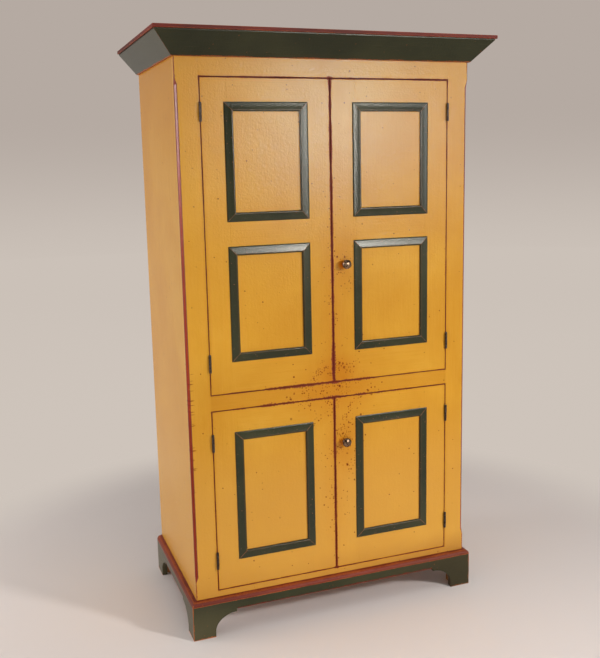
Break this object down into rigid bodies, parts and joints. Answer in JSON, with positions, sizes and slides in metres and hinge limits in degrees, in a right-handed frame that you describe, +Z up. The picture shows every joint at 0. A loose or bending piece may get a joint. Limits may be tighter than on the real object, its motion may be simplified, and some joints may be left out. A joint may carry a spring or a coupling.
{
  "type": "jelly cupboard",
  "caption": "Tall painted jelly cupboard with panelled doors in an upper and a lower pair, shelves behind them, a flared crown and a base of bracket feet.",
  "frame": {"origin": "centre of the footprint of the cap and case, on the floor", "axes": "+Z up, the doors face -Y, +X to the right seen from the front"},
  "size_m": [1.2244, 0.6792, 2.083],
  "materials": {
    "yellow_paint": "worn satin paint",
    "green_paint": "worn satin paint",
    "red_paint": "worn satin paint",
    "inner_wood": "bare aged pine",
    "iron": "dark and dull",
    "pewter": "dark, rubbed bright on the high spots"
  },
  "bodies": {
    "case": {"side_left": "yellow_paint", "side_right": "yellow_paint", "case_bottom": "inner_wood", "case_middle": "inner_wood", "case_top": "inner_wood", "lower_shelf": "inner_wood", "upper_shelves": "inner_wood", "back_boards": "inner_wood", "frame_stile_left": "yellow_paint", "frame_stile_right": "yellow_paint", "frame_rail_top": "yellow_paint", "frame_rail_middle": "yellow_paint", "frame_rail_bottom": "yellow_paint", "crown_front": "green_paint", "crown_left": "green_paint", "crown_right": "green_paint", "cap_board": "red_paint", "crown_blocks": "inner_wood", "base_front": "green_paint", "base_left": "green_paint", "base_right": "green_paint", "rear_brackets": "inner_wood", "foot_blocks": "inner_wood", "hinge_frame_leaves": "iron", "hinge_frame_screws": "iron", "hinge_pins": "iron", "door_stops": "inner_wood"},
    "upper_right_door": {"upper_right_hinge_stile": "yellow_paint", "upper_right_meeting_stile": "yellow_paint", "upper_right_rails": "yellow_paint", "upper_right_panels": "yellow_paint", "upper_right_mouldings": "green_paint", "upper_right_hinge_leaves": "iron"},
    "upper_left_door": {"upper_left_hinge_stile": "yellow_paint", "upper_left_meeting_stile": "yellow_paint", "upper_left_rails": "yellow_paint", "upper_left_panels": "yellow_paint", "upper_left_mouldings": "green_paint", "upper_left_hinge_leaves": "iron", "upper_bolt_plate": "iron"},
    "upper_turn": {"upper_knob": "pewter", "upper_latch": "pewter"},
    "upper_bolt": {"upper_bolt_rod": "iron"},
    "lower_right_door": {"lower_right_hinge_stile": "yellow_paint", "lower_right_meeting_stile": "yellow_paint", "lower_right_rails": "yellow_paint", "lower_right_panels": "yellow_paint", "lower_right_mouldings": "green_paint", "lower_right_hinge_leaves": "iron"},
    "lower_left_door": {"lower_left_hinge_stile": "yellow_paint", "lower_left_meeting_stile": "yellow_paint", "lower_left_rails": "yellow_paint", "lower_left_panels": "yellow_paint", "lower_left_mouldings": "green_paint", "lower_left_hinge_leaves": "iron", "lower_bolt_plate": "iron"},
    "lower_turn": {"lower_knob": "pewter", "lower_latch": "pewter"},
    "lower_bolt": {"lower_bolt_rod": "iron"}
  },
  "joints": [
    {"name": "upper_right_door_swing", "type": "hinge", "parent": "case", "child": "upper_right_door", "pos_m": [0.45475, -0.2682, 1.40575], "axis": [0, 0, 1], "range_deg": [0, 170]},
    {"name": "upper_left_door_swing", "type": "hinge", "parent": "case", "child": "upper_left_door", "pos_m": [-0.45475, -0.2682, 1.40575], "axis": [0, 0, -1], "range_deg": [0, 170]},
    {"name": "upper_knob_turn", "type": "hinge", "parent": "upper_right_door", "child": "upper_turn", "pos_m": [0.04725, -0.2634, 1.30025], "axis": [0, 1, 0], "range_deg": [0, 90]},
    {"name": "upper_bolt_slide", "type": "slide", "parent": "upper_left_door", "child": "upper_bolt", "axis": [0, 0, 1], "range_m": [0, 0.014]},
    {"name": "lower_right_door_swing", "type": "hinge", "parent": "case", "child": "lower_right_door", "pos_m": [0.45475, -0.2682, 0.492], "axis": [0, 0, 1], "range_deg": [0, 170]},
    {"name": "lower_left_door_swing", "type": "hinge", "parent": "case", "child": "lower_left_door", "pos_m": [-0.45475, -0.2682, 0.492], "axis": [0, 0, -1], "range_deg": [0, 170]},
    {"name": "lower_knob_turn", "type": "hinge", "parent": "lower_right_door", "child": "lower_turn", "pos_m": [0.03925, -0.2634, 0.65025], "axis": [0, 1, 0], "range_deg": [0, 90]},
    {"name": "lower_bolt_slide", "type": "slide", "parent": "lower_left_door", "child": "lower_bolt", "axis": [0, 0, 1], "range_m": [0, 0.014]}
  ]
}
